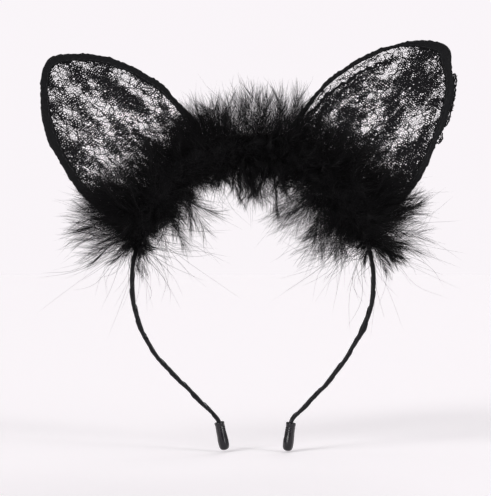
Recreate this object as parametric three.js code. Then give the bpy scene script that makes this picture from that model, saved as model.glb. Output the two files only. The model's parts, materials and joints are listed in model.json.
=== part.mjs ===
// An animal ears headband in millimetres: a ribbon-wrapped spring hoop with soft end caps, two wired lace
// ears and a marabou trim. The front faces -Y and +Z is up. +X is to the right in the front view, and left
// and right in the pieces' names are as seen there. The origin is the middle of the crown's underside, which
// rests on the head.
import * as THREE from 'three';

const { degToRad } = THREE.MathUtils;

// Touching pieces keep this gap, and a little more where one lies loose inside another
const GAP = 0.3;
const LOOSE_GAP = 0.35;

// Hoop centreline: half an ellipse over the crown, then on each side one or two bends inwards, a straight
// tip, and a short bend back into the end cap. The sides differ a little, as the spring was bent by hand.
const HOOP_HALF_WIDTH = 60;
const CROWN_RISE = 65;
const TIP_BEND_RADIUS = 7;
const CAP_GRIP = 8;
const LEFT_SIDE = {
  sign: -1,
  bends: [{ radius: 60, turn: degToRad(45) }],
  straight: 34,
  capLean: degToRad(12),
};
const RIGHT_SIDE = {
  sign: 1,
  bends: [{ radius: 52, turn: degToRad(26) }, { radius: 125, turn: degToRad(19) }],
  straight: 14,
  capLean: degToRad(8),
};

// Steel strip and the ribbon wound round it: thickness across the hoop's line, depth along Y
const STRIP_THICKNESS = 1.1;
const STRIP_DEPTH = 3.2;
const RIBBON = 0.45;
const WRAP_THICKNESS = STRIP_THICKNESS + 2 * (GAP + RIBBON);
const WRAP_DEPTH = STRIP_DEPTH + 2 * (GAP + RIBBON);
const WRAP_CORNER = 0.6;
const WRAP_INTO_CAP = 1;

// The hoop flexes at this distance along it from the crown
const FLEX_AT = 88;
const FLEX_GAP = 0.6;
const CROWN_STEPS = 61;
const ARM_STEPS = 42;

// End caps: soft sleeves, deeper along Y than they are wide
const CAP_LENGTH = 14;
const CAP_MOUTH_RADIUS = 2.4;
const CAP_BELLY_RADIUS = 2.65;
const CAP_SOCKET_RADIUS = 1.7;
const CAP_SOCKET_FLARE = 0.35;
const CAP_SOCKET_DEPTH = 11;
const CAP_DEPTH_RATIO = 1.3;
const CAP_MOUTH_BEFORE_BEND_END = 0.7;
const CAP_SEGMENTS = 24;
const CAP_END_STEPS = 6;

// Ears: a wire inside a folded lace border, two lace layers and a folded hem along the base
const WIRE_RADIUS = 0.5;
const WIRE_SIDES = 6;
const BORDER_WALL = 0.5;
const BORDER_HALF_DEPTH = 1.35;
const LACE_THICKNESS = 0.35;
const LACE_HALF_SPACE = 0.15;
const WIRE_INSET = BORDER_WALL + GAP + WIRE_RADIUS;
const LACE_INSET = WIRE_INSET + WIRE_RADIUS + LOOSE_GAP;
const HEM_CLEARANCE = 1.3;
const HEM_FLOOR = WRAP_THICKNESS / 2 + HEM_CLEARANCE;
const HEM_HEIGHT = 3.2;
const HEM_SETBACK = 6.5;
const HEM_STEPS = 14;
const STITCH_RADIUS = 0.22;
const STITCH_SIDES = 4;
const STITCH_FORWARD = BORDER_HALF_DEPTH + GAP + STITCH_RADIUS;
const EAR_STEPS = 104;
const TAIL_LENGTH = 5;
const TAIL_START = 1.5;
const TAIL_HEIGHT = WRAP_THICKNESS / 2 + LOOSE_GAP + WIRE_RADIUS;

// Each outline runs from the outer foot over the tip to the inner foot. A point is [towards the inner foot,
// away from the hoop], measured from the middle of the line between the two feet on the hoop.
const LEFT_EAR = {
  side: -1,
  outerFoot: 69.5,
  innerFoot: 17.2,
  border: 3.8,
  borderTrim: 8,
  outline: [
    [-29, 5.5], [-35, 16], [-37.2, 29], [-35.5, 46], [-29.5, 66], [-19.5, 82.3], [-11, 91], [-3.5, 93],
    [4.5, 89.7], [15.7, 78.6], [24.5, 62.5], [29.3, 46], [29.9, 30], [28.2, 14], [26.5, 6],
  ],
};
const RIGHT_EAR = {
  side: 1,
  outerFoot: 71.5,
  innerFoot: 13.1,
  border: 3,
  borderTrim: 8,
  outline: [
    [-30, 5.5], [-33.2, 16], [-33.4, 28], [-31.3, 42], [-25.4, 60.4], [-18.2, 76.2], [-9.6, 88.1], [-2, 94.2],
    [3.5, 95.4], [10.5, 92], [18.5, 84], [27, 70.5], [33, 54], [35.4, 38], [34, 22], [30.2, 6],
  ],
};

// Marabou trim: a core cord tied to the front of the hoop, and the down that stands out from it
const CORD_RADIUS = 1.25;
const CORD_SIDES = 8;
const CORD_CLEARANCE = 1.8;
const CORD_FORWARD = WRAP_DEPTH / 2 + CORD_CLEARANCE + CORD_RADIUS;
const TRIM_END = 80;
const CORD_STEPS = 49;
const DOWN_BACK = 7.5;
const DOWN_HALF_DEPTH = 7.5;
const DOWN_OUTWARD = 16;
const DOWN_INWARD = 10;
const DOWN_SIDES = 14;
const DOWN_CENTRE_END = 14;
const DOWN_EAR_END = 60;
const DOWN_STEPS = 10;

// Thread bindings
const BINDING_WALL = 0.7;
const BINDING_LENGTH = 3;
const TIE_WALL = 0.4;
const TIE_LENGTH = 2.4;
const TIES_AT = { centre: 4.6, outer: 78.2 };

const BLACK_RIBBON = { color: 0x232628, roughness: 0.42, metalness: 0 };
const BLACK_LACE = { color: 0x161617, roughness: 0.85, metalness: 0 };
const BLACK_THREAD = { color: 0x101011, roughness: 0.7, metalness: 0 };
const BLACK_DOWN = { color: 0x0c0c0d, roughness: 0.9, metalness: 0 };
const BLACK_CAP = { color: 0x141216, roughness: 0.3, metalness: 0 };
const SPRING_STEEL = { color: 0x8d9094, roughness: 0.35, metalness: 1 };
const EAR_WIRE = { color: 0x3a3c40, roughness: 0.4, metalness: 1 };

const headband = new THREE.Group();

function addPiece(name, geometry, finish) {
  const mesh = new THREE.Mesh(geometry, new THREE.MeshStandardMaterial(finish));
  mesh.name = name;
  headband.add(mesh);
  return mesh;
}

// Half of the hoop's centreline, drawn as a right half, as a flat path of x and z
function hoopSidePath(shape) {
  const path = new THREE.Path();
  path.absellipse(0, -CROWN_RISE, HOOP_HALF_WIDTH, CROWN_RISE, Math.PI / 2, 0, true);
  let lean = 0;
  const straight = (length) => {
    path.lineTo(path.currentPoint.x - length * Math.sin(lean), path.currentPoint.y - length * Math.cos(lean));
  };
  for (const { radius, turn } of shape.bends) {
    const x = path.currentPoint.x - radius * Math.cos(lean);
    const z = path.currentPoint.y + radius * Math.sin(lean);
    path.absarc(x, z, radius, -lean, -lean - turn, true);
    lean += turn;
  }
  straight(shape.straight);
  const x = path.currentPoint.x + TIP_BEND_RADIUS * Math.cos(lean);
  const z = path.currentPoint.y - TIP_BEND_RADIUS * Math.sin(lean);
  path.absarc(x, z, TIP_BEND_RADIUS, Math.PI - lean, Math.PI - shape.capLean, false);
  lean = shape.capLean;
  straight(CAP_GRIP);
  return path;
}

for (const shape of [LEFT_SIDE, RIGHT_SIDE]) {
  shape.path = hoopSidePath(shape);
  shape.length = shape.path.getLength();
}

// A stretch of the centreline between two distances from the crown, negative to the left
class HoopStretch extends THREE.Curve {
  constructor(from, to, forward = 0) {
    super();
    this.from = from;
    this.to = to;
    this.forward = forward;
  }

  getPoint(t, target = new THREE.Vector3()) {
    const distance = THREE.MathUtils.lerp(this.from, this.to, t);
    const shape = distance < 0 ? LEFT_SIDE : RIGHT_SIDE;
    const point = shape.path.getPoint(Math.abs(distance) / shape.length);
    return target.set(shape.sign * point.x, -this.forward, point.y);
  }
}

// A point at a distance along the hoop, moved outwards from its centreline
function besideHoop(distance, outward) {
  const reach = 0.01;
  const stretch = new HoopStretch(distance - reach, distance + reach);
  const tangent = stretch.getPoint(1).sub(stretch.getPoint(0)).normalize();
  return stretch.getPoint(0.5).addScaledVector(new THREE.Vector3(-tangent.z, 0, tangent.x), outward);
}

// A piece of another curve, between two shares of its length
class CurveStretch extends THREE.Curve {
  constructor(curve, from, to) {
    super();
    this.curve = curve;
    this.from = from;
    this.to = to;
  }

  getPoint(t, target = new THREE.Vector3()) {
    return this.curve.getPointAt(THREE.MathUtils.lerp(this.from, this.to, t), target);
  }
}

// Sections are drawn with x along the depth, towards the front, and y towards the inside of the curve
function polygon(points) {
  return new THREE.Shape(points.map(([x, y]) => new THREE.Vector2(x, y)));
}

function rectangle(left, right, low, high) {
  return polygon([[left, low], [right, low], [right, high], [left, high]]);
}

function chamferedRectangle(halfWidth, low, high, corner) {
  return polygon([
    [-halfWidth + corner, low], [halfWidth - corner, low], [halfWidth, low + corner],
    [halfWidth, high - corner], [halfWidth - corner, high], [-halfWidth + corner, high],
    [-halfWidth, high - corner], [-halfWidth, low + corner],
  ]);
}

function ellipse(x, y, halfWidth, halfHeight, sides) {
  const points = [];
  for (let i = 0; i < sides; i += 1) {
    const angle = (2 * Math.PI * i) / sides;
    points.push([x + halfWidth * Math.cos(angle), y + halfHeight * Math.sin(angle)]);
  }
  return polygon(points);
}

// A folded channel with its floor at one height and its open side at another
function channel(floor, rim) {
  const floorTop = floor + Math.sign(rim - floor) * BORDER_WALL;
  const inner = BORDER_HALF_DEPTH - BORDER_WALL;
  return polygon([
    [-BORDER_HALF_DEPTH, floor], [BORDER_HALF_DEPTH, floor], [BORDER_HALF_DEPTH, rim], [inner, rim],
    [inner, floorTop], [-inner, floorTop], [-inner, rim], [-BORDER_HALF_DEPTH, rim],
  ]);
}

function extrudeAlong(section, curve, steps) {
  return new THREE.ExtrudeGeometry(section, { steps, extrudePath: curve });
}

function addHoop(name, from, stripEnd, wrapEnd, steps) {
  const strip = rectangle(-STRIP_DEPTH / 2, STRIP_DEPTH / 2, -STRIP_THICKNESS / 2, STRIP_THICKNESS / 2);
  addPiece(`hoop_strip_${name}`, extrudeAlong(strip, new HoopStretch(from, stripEnd), steps), SPRING_STEEL);
  const wrap = chamferedRectangle(WRAP_DEPTH / 2, -WRAP_THICKNESS / 2, WRAP_THICKNESS / 2, WRAP_CORNER);
  const boreX = STRIP_DEPTH / 2 + GAP;
  const boreY = STRIP_THICKNESS / 2 + GAP;
  wrap.holes.push(rectangle(-boreX, boreX, -boreY, boreY));
  addPiece(`ribbon_wrap_${name}`, extrudeAlong(wrap, new HoopStretch(from, wrapEnd), steps), BLACK_RIBBON);
}

function capProfile() {
  const wall = CAP_BELLY_RADIUS;
  const profile = new THREE.Path();
  profile.moveTo(0, -CAP_LENGTH);
  profile.absellipse(0, wall - CAP_LENGTH, wall, wall, -Math.PI / 2, 0, false);
  profile.lineTo(CAP_MOUTH_RADIUS, 0);
  profile.lineTo(CAP_SOCKET_RADIUS + CAP_SOCKET_FLARE, 0);
  profile.lineTo(CAP_SOCKET_RADIUS, -CAP_SOCKET_DEPTH / 3);
  profile.lineTo(CAP_SOCKET_RADIUS, -CAP_SOCKET_DEPTH);
  profile.lineTo(0, -CAP_SOCKET_DEPTH);
  return profile.getPoints(CAP_END_STEPS);
}

function addEndCap(name, shape) {
  const geometry = new THREE.LatheGeometry(capProfile(), CAP_SEGMENTS);
  geometry.rotateX(Math.PI / 2);
  geometry.scale(1, CAP_DEPTH_RATIO, 1);
  const cap = addPiece(`end_cap_${name}`, geometry, BLACK_CAP);
  cap.position.copy(besideHoop(shape.sign * capMouthAt(shape), 0));
  cap.rotation.y = shape.sign * shape.capLean;
}

// The end cap's mouth, as a distance along the hoop from the crown
function capMouthAt(shape) {
  return shape.length - CAP_GRIP - CAP_MOUTH_BEFORE_BEND_END;
}

function addArm(name, shape) {
  const start = shape.sign * (FLEX_AT + FLEX_GAP / 2);
  const wrapEnd = shape.sign * (capMouthAt(shape) + WRAP_INTO_CAP);
  addHoop(`arm_${name}`, start, shape.sign * shape.length, wrapEnd, ARM_STEPS);
  addEndCap(name, shape);
}

// The outer edge of an ear, with the wire's tails along the hoop at both ends. It runs clockwise in the
// front view, so that its inside is on the section's positive y side.
function earLine(ear) {
  const outer = besideHoop(ear.side * ear.outerFoot, 0);
  const inner = besideHoop(ear.side * ear.innerFoot, 0);
  const middle = outer.clone().add(inner).multiplyScalar(0.5);
  const across = inner.clone().sub(outer).normalize();
  const up = new THREE.Vector3(-across.z, 0, across.x).multiplyScalar(-ear.side);
  const height = TAIL_HEIGHT + WIRE_INSET;
  const tail = (foot, away, distance) => besideHoop(ear.side * (foot + away * distance), height);
  const points = [
    tail(ear.outerFoot, 1, TAIL_LENGTH),
    tail(ear.outerFoot, 1, TAIL_START),
    ...ear.outline.map(([x, y]) => middle.clone().addScaledVector(across, x).addScaledVector(up, y)),
    tail(ear.innerFoot, -1, TAIL_START),
    tail(ear.innerFoot, -1, TAIL_LENGTH),
  ];
  if (ear.side > 0) points.reverse();
  return new THREE.CatmullRomCurve3(points, false, 'centripetal');
}

// The lace's outline: just inside the wire, and along the floor of the base hem
function laceShape(ear, line) {
  const first = ear.borderTrim;
  const last = EAR_STEPS - ear.borderTrim;
  const points = [];
  for (let i = first; i <= last; i += 1) {
    const point = line.getPointAt(i / EAR_STEPS);
    const tangent = line.getTangentAt(i / EAR_STEPS);
    points.push([point.x + tangent.z * LACE_INSET, point.z - tangent.x * LACE_INSET]);
  }
  const baseHeight = HEM_FLOOR + BORDER_WALL + GAP;
  const feet = [ear.innerFoot + HEM_SETBACK, ear.outerFoot - HEM_SETBACK];
  if (ear.side > 0) feet.reverse();
  for (let i = 0; i <= HEM_STEPS; i += 1) {
    const distance = THREE.MathUtils.lerp(feet[0], feet[1], i / HEM_STEPS);
    const point = besideHoop(ear.side * distance, baseHeight);
    points.push([point.x, point.z]);
  }
  return polygon(points);
}

function addLace(name, shape, back) {
  const geometry = new THREE.ExtrudeGeometry(shape, { depth: LACE_THICKNESS, bevelEnabled: false });
  geometry.rotateX(Math.PI / 2);
  geometry.translate(0, back, 0);
  addPiece(name, geometry, BLACK_LACE);
}

function addEar(name, ear) {
  const line = earLine(ear);
  const wire = ellipse(0, WIRE_INSET, WIRE_RADIUS, WIRE_RADIUS, WIRE_SIDES);
  addPiece(`ear_wire_${name}`, extrudeAlong(wire, line, EAR_STEPS), EAR_WIRE);

  const trim = ear.borderTrim / EAR_STEPS;
  const edge = new CurveStretch(line, trim, 1 - trim);
  const edgeSteps = EAR_STEPS - 2 * ear.borderTrim;
  addPiece(`edge_binding_${name}`, extrudeAlong(channel(0, ear.border), edge, edgeSteps), BLACK_LACE);
  const stitchInset = ear.border - 2 * STITCH_RADIUS;
  const stitch = ellipse(STITCH_FORWARD, stitchInset, STITCH_RADIUS, STITCH_RADIUS, STITCH_SIDES);
  addPiece(`edge_stitching_${name}`, extrudeAlong(stitch, edge, edgeSteps), BLACK_THREAD);

  const shape = laceShape(ear, line);
  addLace(`lace_front_${name}`, shape, -LACE_HALF_SPACE);
  addLace(`lace_back_${name}`, shape, LACE_HALF_SPACE + LACE_THICKNESS);
  addBaseHem(name, ear);
  addFootBindings(name, ear);
}

// The lace's folded lower edge, which stands just clear of the top of the wrapped hoop
function addBaseHem(name, ear) {
  const hemFrom = ear.side * (ear.innerFoot + HEM_SETBACK);
  const hemTo = ear.side * (ear.outerFoot - HEM_SETBACK);
  const hemLine = new HoopStretch(Math.min(hemFrom, hemTo), Math.max(hemFrom, hemTo));
  const hem = channel(-HEM_FLOOR, -HEM_FLOOR - HEM_HEIGHT);
  addPiece(`base_hem_${name}`, extrudeAlong(hem, hemLine, HEM_STEPS), BLACK_LACE);
}

function addFootBindings(name, ear) {
  const band = footBindingSection();
  const bandMiddle = (TAIL_START + TAIL_LENGTH) / 2;
  const feet = { outer: ear.outerFoot + bandMiddle, inner: ear.innerFoot - bandMiddle };
  for (const [foot, distance] of Object.entries(feet)) {
    const centre = ear.side * distance;
    const stretch = new HoopStretch(centre - BINDING_LENGTH / 2, centre + BINDING_LENGTH / 2);
    addPiece(`foot_binding_${name}_${foot}`, extrudeAlong(band, stretch, 1), BLACK_THREAD);
  }
}

// A thread band round the wrapped hoop and the wire's tail on its outer side
function footBindingSection() {
  const halfDepth = WRAP_DEPTH / 2 + LOOSE_GAP;
  const inside = WRAP_THICKNESS / 2 + LOOSE_GAP;
  const outside = TAIL_HEIGHT + WIRE_RADIUS + LOOSE_GAP;
  const band = chamferedRectangle(halfDepth + BINDING_WALL, -outside - BINDING_WALL,
    inside + BINDING_WALL, WRAP_CORNER);
  band.holes.push(rectangle(-halfDepth, halfDepth, -outside, inside));
  return band;
}

// A thread band round the wrapped hoop and the marabou's core cord in front of it
function addTrimTie(name, distance) {
  const back = -WRAP_DEPTH / 2 - GAP;
  const front = CORD_FORWARD + CORD_RADIUS + GAP;
  const half = WRAP_THICKNESS / 2 + GAP;
  const band = rectangle(back - TIE_WALL, front + TIE_WALL, -half - TIE_WALL, half + TIE_WALL);
  band.holes.push(rectangle(back, front, -half, half));
  const stretch = new HoopStretch(distance - TIE_LENGTH / 2, distance + TIE_LENGTH / 2);
  addPiece(`trim_tie_${name}`, extrudeAlong(band, stretch, 1), BLACK_THREAD);
}

function addTrim() {
  const cord = ellipse(0, 0, CORD_RADIUS, CORD_RADIUS, CORD_SIDES);
  const cordLine = new HoopStretch(-TRIM_END, TRIM_END, CORD_FORWARD);
  addPiece('marabou_core_cord', extrudeAlong(cord, cordLine, CORD_STEPS), BLACK_THREAD);

  const middle = (DOWN_INWARD - DOWN_OUTWARD) / 2;
  const halfHeight = (DOWN_INWARD + DOWN_OUTWARD) / 2;
  const tuft = ellipse(DOWN_BACK + DOWN_HALF_DEPTH, middle, DOWN_HALF_DEPTH, halfHeight, DOWN_SIDES);
  const addDown = (name, from, to) => {
    const stretch = new HoopStretch(from + GAP / 2, to - GAP / 2);
    addPiece(`down_${name}`, extrudeAlong(tuft, stretch, DOWN_STEPS), BLACK_DOWN);
  };
  addDown('centre', -DOWN_CENTRE_END, DOWN_CENTRE_END);
  addDown('left_ear', -DOWN_EAR_END, -DOWN_CENTRE_END);
  addDown('left_end', -TRIM_END, -DOWN_EAR_END);
  addDown('right_ear', DOWN_CENTRE_END, DOWN_EAR_END);
  addDown('right_end', DOWN_EAR_END, TRIM_END);

  for (const [place, distance] of Object.entries(TIES_AT)) {
    addTrimTie(`left_${place}`, -distance);
    addTrimTie(`right_${place}`, distance);
  }
}

const crownEnd = FLEX_AT - FLEX_GAP / 2;
addHoop('crown', -crownEnd, crownEnd, crownEnd, CROWN_STEPS);
addArm('left', LEFT_SIDE);
addArm('right', RIGHT_SIDE);
addEar('left', LEFT_EAR);
addEar('right', RIGHT_EAR);
addTrim();

// The flat of the wrap's underside at the middle of the crown lies at z = 0
const crownPoints = new HoopStretch(-crownEnd, crownEnd).getSpacedPoints(CROWN_STEPS);
headband.position.z = WRAP_THICKNESS / 2 - crownPoints[(CROWN_STEPS - 1) / 2].z;

export default headband;
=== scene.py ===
import json
import math

import bmesh
import bpy
import numpy as np
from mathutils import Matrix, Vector


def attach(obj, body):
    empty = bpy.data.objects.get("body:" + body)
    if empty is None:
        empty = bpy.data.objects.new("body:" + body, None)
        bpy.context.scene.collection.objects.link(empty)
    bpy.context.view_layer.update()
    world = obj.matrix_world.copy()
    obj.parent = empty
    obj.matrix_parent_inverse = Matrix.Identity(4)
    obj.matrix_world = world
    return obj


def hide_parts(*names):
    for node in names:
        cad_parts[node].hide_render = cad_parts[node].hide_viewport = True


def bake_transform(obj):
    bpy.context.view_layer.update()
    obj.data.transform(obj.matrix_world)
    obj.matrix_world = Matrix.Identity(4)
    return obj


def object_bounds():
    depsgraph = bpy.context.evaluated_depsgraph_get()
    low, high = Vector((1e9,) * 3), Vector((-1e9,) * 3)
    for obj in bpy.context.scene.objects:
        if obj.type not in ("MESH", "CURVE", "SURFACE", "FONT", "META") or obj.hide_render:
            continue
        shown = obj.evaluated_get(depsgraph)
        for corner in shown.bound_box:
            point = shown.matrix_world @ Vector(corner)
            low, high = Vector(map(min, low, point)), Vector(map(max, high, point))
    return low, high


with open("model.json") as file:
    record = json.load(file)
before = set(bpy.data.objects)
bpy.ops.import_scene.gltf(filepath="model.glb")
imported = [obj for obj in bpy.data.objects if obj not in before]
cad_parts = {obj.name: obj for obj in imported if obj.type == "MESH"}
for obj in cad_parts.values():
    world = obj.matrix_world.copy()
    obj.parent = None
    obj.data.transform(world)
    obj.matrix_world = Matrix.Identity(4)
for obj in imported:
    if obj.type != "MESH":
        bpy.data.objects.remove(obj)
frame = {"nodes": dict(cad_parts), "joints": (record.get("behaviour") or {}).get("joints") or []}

cad_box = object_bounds()

# Lengths are in millimetres until a mesh is made. x runs right, z up, and the front faces -y.
# An ear has its own frame: u along its foot line towards the crown's middle, and v up the ear.
MM = 0.001
SEED = 4107
TURN = 2 * math.pi
SIGN = {"left": -1, "right": 1}

# ---------------------------------------------------------------- sizes
CAMERA_DISTANCE = 900.0
FRAME_HEIGHT = 246.4
AIM_X, AIM_Z = -3.6, -46.4
SENSOR = 36.0

WRAP_HALF_THICK = 1.3
WRAP_HALF_DEEP = 2.35
RIBBON_STEP = 0.5
RIBBON_SLACK = 0.50
RIBBON_OVERLAP = 0.4
RIBBON_SQUARENESS = 0.625
LAP_PITCH = 15.5
# The swelling in the right arm's ribbon: its place as a part of the side, its height and width.
SWELLING = (0.672, 0.42, 3.4)

# The cap's outside and socket: how far from the mouth, and the radius as a part of the fullest.
CAP_LENGTH_DRAWN = 14.0
CAP_OUTSIDE = (
    (0.0, 0.80), (-0.12, 0.84), (-0.1, 0.90), (0.1, 0.945), (0.45, 0.955), (0.9, 0.94),
    (1.3, 0.905), (1.9, 0.895), (3.2, 0.905), (5.0, 0.93), (7.0, 0.965), (9.0, 0.995),
    (10.6, 1.0), (11.8, 0.975), (12.7, 0.90), (13.3, 0.78), (13.75, 0.58), (14.0, 0.3),
    (14.05, 0.0),
)
CAP_SOCKET = ((11.0, 0.0), (10.9, 0.45), (10.2, 0.64), (6.0, 0.65), (2.0, 0.66), (0.6, 0.74))
# Lengthwise grooves: the angle round the cap, the width and the depth.
CAP_GROOVES = (
    (0.35, 0.16, 0.06), (1.5, 0.2, 0.05), (2.6, 0.15, 0.065),
    (3.75, 0.14, 0.05), (4.77, 0.09, 0.05), (5.7, 0.14, 0.055),
)
# Flats: the angle round the cap (270 is the front) and half of what each takes, in degrees.
CAP_FLATS = ((250, 15), (297, 13))

WIRE_INSET = 1.3
# The binding's section: how far in from its fold, as a part of its width, and how far from
# the middle of the ear's thickness. Up to BORDER_FOLD it keeps its size at any width.
BORDER_OUTSIDE = (
    (1.0, 0.60), (0.86, 0.78), (0.66, 0.86), (0.5, 0.98), (0.38, 1.16), (0.30, 1.28),
    (0.20, 1.2), (0.11, 0.98), (0.045, 0.66), (0.0, 0.22),
)
BORDER_INSIDE = ((0.22, 0.0), (0.25, 0.55), (0.34, 0.68), (0.5, 0.6), (0.8, 0.53), (0.99, 0.52))
BORDER_FOLD = 0.38
BORDER_WIDTH_DRAWN = 3.6
STITCH_PITCH = 3.1
STITCH_LENGTH = 2.0
STITCH_RADIUS = 0.17
THREAD_RADIUS = 0.19
THREAD_PITCH = 1.75 * THREAD_RADIUS
WINDING_SQUARENESS = 0.72
CORD_TWIST = 4.6

LACE_THICK = 0.15
LACE_GAP = 0.05
LACE_INSET = 2.0
LACE_ABOVE_HOOP = 3.4
# Each layer's face, its side of the ear's middle, and its shift in (u, v).
LACE_LAYERS = (("front", -1, (0.0, 0.0)), ("back", 1, (0.12, 0.16)))
CELL = 0.86
CELL_STRETCH = 1.5
# The share of a net's meshes that are closely worked: where there is no work, and how much
# more at full work. Then the open part of such a mesh and of the rest, and how much less of
# it is open at full work. A mesh with less open than FILLED_BELOW is filled.
CLOSE_SHARE, CLOSE_MORE = 0.12, 0.76
CLOSE_HOLE, CLOSE_HOLE_LESS = 0.59, 0.34
OPEN_HOLE, OPEN_HOLE_LESS = 0.955, 0.27
LEAST_HOLE, FILLED_BELOW = 0.10, 0.20
CRACKLE = 2.8
CRACKLE_STRETCH = 1.9
LATTICE_HALF_WIDE, LATTICE_TALL, LATTICE_LOW = 54, 104, -4
LATTICE_LEAN = 0.12

# Where a binding stands out past its wire's curve or falls short: u, v, how far, half width.
CORNERS = {
    "left": ((-12, 89, -1.1, 5.0), (-4.3, 92.5, 0.5, 3.5), (8, 86, -0.6, 6.0),
             (-32, 57, 0.5, 14.0), (29, 38, -0.6, 9.0)),
    "right": ((0.5, 96.0, 0.9, 3.0), (-8, 92, -0.9, 4.0), (-16, 81, 0.9, 7.0),
              (33, 43, -0.5, 8.0)),
}

# Streaks of each ear's lace: from one (u, v) to another, the half width, and how much more
# or less closely the lace is worked.
STREAKS = {
    "left": (
        (4, 78, 13, 55, 2.3, 0.60), (13, 54, 18, 24, 2.6, 0.60), (12, 46, 11, 38, 2.0, 0.35),
        (21, 24, 17, 14, 5, 0.5), (-31, 50, -28, 24, 4.6, 0.60), (-9, 88, -26, 66, 2.2, 0.25),
        (-14, 58, -9, 46, 1.8, 0.3), (2, 36, 6, 22, 4, 0.3), (-4, 88, -5, 80, 1.8, -0.45),
        (-12, 78, -16, 62, 2.4, -0.5), (-20, 64, -19, 42, 2.4, -0.5),
        (17, 64, 17, 53, 1.8, -0.5), (18, 44, 13, 29, 1.8, -0.5), (4, 55, 3, 41, 3.2, -0.6),
        (-23, 43, -22, 34, 1.6, -0.5), (25, 38, 23, 26, 1.3, -0.5), (4, 75, 3, 66, 1.5, -0.4),
        (-14, 34, -10, 24, 2.2, -0.4), (-6, 44, -8, 30, 1.8, -0.4),
    ),
    "right": (
        (28, 42, 25, 27, 4.0, 0.50), (9, 83, -7, 72, 4.5, 0.45), (8, 67, 1, 50, 3.0, 0.30),
        (-24, 44, -23, 28, 5.5, 0.60), (13, 38, 12, 24, 4.0, 0.50),
        (-2, 62, -6, 46, 2.5, 0.30), (30, 56, 24, 66, 1.5, 0.45), (15, 73, 4, 38, 2.2, -0.65),
        (20, 53, 18, 42, 2.2, -0.5), (-13, 68, -15, 47, 2.0, -0.65),
        (16, 35, 15, 30, 1.6, -0.5), (-8, 55, -12, 40, 1.6, -0.45),
        (-11, 29, -13, 20, 2.2, -0.3),
    ),
}
RIGHT_EAR_CLOSER = 0.165
# The right ear's lace stands this far past its outline, and again at a tag lower down.
OVERHANG = 1.4
OVERHANG_TOP, OVERHANG_FOOT, TAG_AT = (89, 84), (62, 67), 58.5
# Where the stems of the lace's pattern start along u, and how they lean.
STEMS = ((-22, 0.02), (-13, -0.10), (-4, -0.16), (6, -0.2), (15, -0.26), (22, -0.3))

CORD_Y = -5.4
DOWN_END = 80.0
FRONT_LIMIT = -31.5
BACK_LIMIT = 12.5
PLUMES, PLUME_BARBS, SPRAY_BARBS = 280, 60, 84
FLUFF, WISPS = 15000, 760
# A quill's part of its feather's reach, its barbs' angles to it in degrees, how many cling
# together on one side, and how closely.
QUILL = 0.74
BARB_SPLAY = (18, 62)
TUFT = 8
CLING = (0.3, 0.82)
BARB_STEPS, FLUFF_STEPS, WISP_STEPS = 7, 5, 13
ZONES = (("left_end", -99, -60), ("left_ear", -60, -14), ("centre", -14, 14),
         ("right_ear", 14, 60), ("right_end", 60, 99))
# Where each spray starts along the hoop, half its spread there, the turn of its middle from
# outwards, half its fan (both in degrees), its feathers and their reach.
SPRAYS = (
    (-67, 5, 0, 14, 26, 42), (-70, 5, -44, 30, 8, 38), (67, 5, -14, 12, 24, 37),
    (68, 5, 34, 22, 6, 38), (76, 4, 48, 16, 12, 25), (44, 12, 172, 22, 14, 42),
    (56, 8, 160, 22, 8, 36), (-44, 11, 186, 28, 7, 35), (0, 16, 180, 30, 10, 35),
    (0, 18, 0, 28, 18, 37), (-19, 8, 6, 22, 16, 35), (26, 8, -8, 22, 9, 32),
    (-38, 12, 0, 22, 14, 33), (42, 12, 0, 22, 16, 34), (-74, 4, -88, 20, 3, 25),
)

BACKDROP = (0.955, 0.915, 0.945, 1)
FLOOR_COLOUR = (0.93, 0.894, 0.918, 1)
FLOOR_GLOW = 0.19
FLOOR_HALF = 6000.0
FLOOR_BELOW = 0.6


# ---------------------------------------------------------------- noise and lines
def hashed(cells, number):
    """A number from 0 to 1 for each row of whole numbers."""
    first = ((SEED + number) * 2654435761 + 97) % 2**32
    value = np.full(len(cells), first, dtype=np.uint64)
    for column in cells.T:
        value = value ^ column.astype(np.int64).view(np.uint64)
        value = value * np.uint64(6364136223846793005)
        value ^= value >> np.uint64(29)
    value = value * np.uint64(2862933555777941757)
    return (value >> np.uint64(40)).astype(float) / 2**24


def ripple(size, number, *places):
    """Smooth noise from -0.5 to 0.5 over arrays of coordinates, in patches of about this size."""
    if len(places) == 1:
        places += (0 * places[0],)
    places = np.broadcast_arrays(*places)
    place = np.stack([p.ravel() for p in places], 1) / size
    cell = np.floor(place).astype(np.int64)
    part = place - cell
    part = part * part * (3 - 2 * part)
    total = np.zeros(len(place))
    for corner in range(2 ** len(places)):
        offset = np.array([(corner >> axis) & 1 for axis in range(len(places))])
        weight = np.prod(np.where(offset, part, 1 - part), axis=1)
        total += weight * hashed(cell + offset, number)
    return total.reshape(places[0].shape) - 0.5


def smooth(low, high, value):
    """0 below low, 1 above high, and a smooth rise between."""
    t = np.clip((value - low) / (high - low), 0, 1)
    return t * t * (3 - 2 * t)


def bump_at(value, middle, width):
    """1 at the middle, falling to nothing a few widths away."""
    return np.exp(-(((value - middle) / width) ** 2))


def unit(vectors):
    return vectors / np.maximum(np.linalg.norm(vectors, axis=-1, keepdims=True), 1e-9)


def squared(value, power):
    """A sine or cosine made flatter, so that a circle becomes a rounded square."""
    return np.sign(value) * np.abs(value) ** power


def angle_from(angle, start):
    """Angles as the turn from start, between minus and plus half a turn."""
    return (angle - start + math.pi) % TURN - math.pi


def middle_and_half(values):
    return (values.max() + values.min()) / 2, (values.max() - values.min()) / 2


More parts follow.
